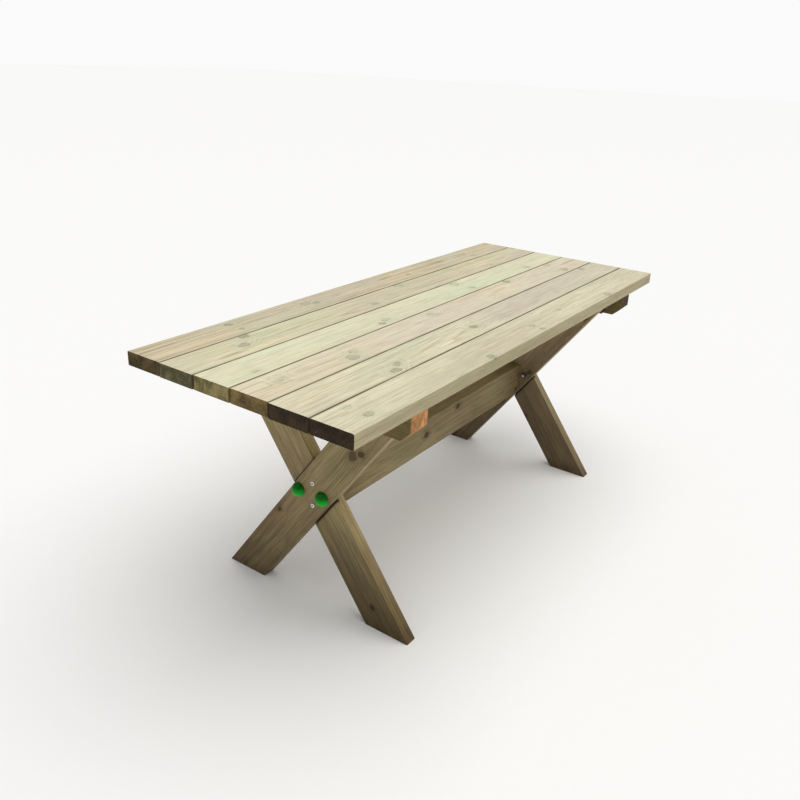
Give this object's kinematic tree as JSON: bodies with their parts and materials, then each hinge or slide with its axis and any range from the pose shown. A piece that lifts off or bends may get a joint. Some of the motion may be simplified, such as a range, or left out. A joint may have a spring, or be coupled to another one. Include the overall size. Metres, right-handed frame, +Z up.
{
  "type": "picnic table",
  "caption": "Long garden table: boarded top on battens, crossed-leg frames joined by a low stretcher beam, bolts through the crossings under domed caps.",
  "frame": {"origin": "on the floor, under the middle of the table top", "axes": "+X along the table, +Y across it, +Z up"},
  "size_m": [1.78, 0.725, 0.75],
  "materials": {
    "top_wood": "planed, pressure-treated, pale green tint",
    "leg_wood": "planed, pressure-treated",
    "beam_wood": "planed, pressure-treated",
    "batten_wood": "planed, pressure-treated",
    "cap_plastic": "moulded, gloss",
    "zinc_steel": "bright zinc plated"
  },
  "bodies": {
    "table": {"left_back_cap_base": "cap_plastic", "left_back_crossing_bolt": "zinc_steel", "left_batten": "batten_wood", "left_beam_screws": "zinc_steel", "left_board_screws": "zinc_steel", "left_crossing_nuts": "zinc_steel", "left_crossing_washers": "zinc_steel", "left_front_cap_base": "cap_plastic", "left_front_crossing_bolt": "zinc_steel", "left_inner_leg": "leg_wood", "left_inner_leg_coach_bolts": "zinc_steel", "left_inner_leg_nuts": "zinc_steel", "left_inner_leg_washers": "zinc_steel", "left_leg_spacer": "batten_wood", "left_outer_leg": "leg_wood", "left_outer_leg_coach_bolts": "zinc_steel", "left_outer_leg_nuts": "zinc_steel", "left_outer_leg_washers": "zinc_steel", "right_back_cap_base": "cap_plastic", "right_back_crossing_bolt": "zinc_steel", "right_batten": "batten_wood", "right_beam_screws": "zinc_steel", "right_board_screws": "zinc_steel", "right_crossing_nuts": "zinc_steel", "right_crossing_washers": "zinc_steel", "right_front_cap_base": "cap_plastic", "right_front_crossing_bolt": "zinc_steel", "right_inner_leg": "leg_wood", "right_inner_leg_coach_bolts": "zinc_steel", "right_inner_leg_nuts": "zinc_steel", "right_inner_leg_washers": "zinc_steel", "right_leg_spacer": "batten_wood", "right_outer_leg": "leg_wood", "right_outer_leg_coach_bolts": "zinc_steel", "right_outer_leg_nuts": "zinc_steel", "right_outer_leg_washers": "zinc_steel", "stretcher_beam": "beam_wood", "top_board_1": "top_wood", "top_board_2": "top_wood", "top_board_3": "top_wood", "top_board_4": "top_wood", "top_board_5": "top_wood", "top_board_6": "top_wood"},
    "left_back_bolt_cap": {"left_back_bolt_cap": "cap_plastic"},
    "left_front_bolt_cap": {"left_front_bolt_cap": "cap_plastic"},
    "right_back_bolt_cap": {"right_back_bolt_cap": "cap_plastic"},
    "right_front_bolt_cap": {"right_front_bolt_cap": "cap_plastic"}
  },
  "joints": [
    {"name": "left_back_cap_pull", "type": "slide", "parent": "table", "child": "left_back_bolt_cap", "axis": [-1, 0, 0], "range_m": [0, 0.03]},
    {"name": "left_front_cap_pull", "type": "slide", "parent": "table", "child": "left_front_bolt_cap", "axis": [-1, 0, 0], "range_m": [0, 0.03]},
    {"name": "right_back_cap_pull", "type": "slide", "parent": "table", "child": "right_back_bolt_cap", "axis": [1, 0, 0], "range_m": [0, 0.03]},
    {"name": "right_front_cap_pull", "type": "slide", "parent": "table", "child": "right_front_bolt_cap", "axis": [1, 0, 0], "range_m": [0, 0.03]}
  ]
}
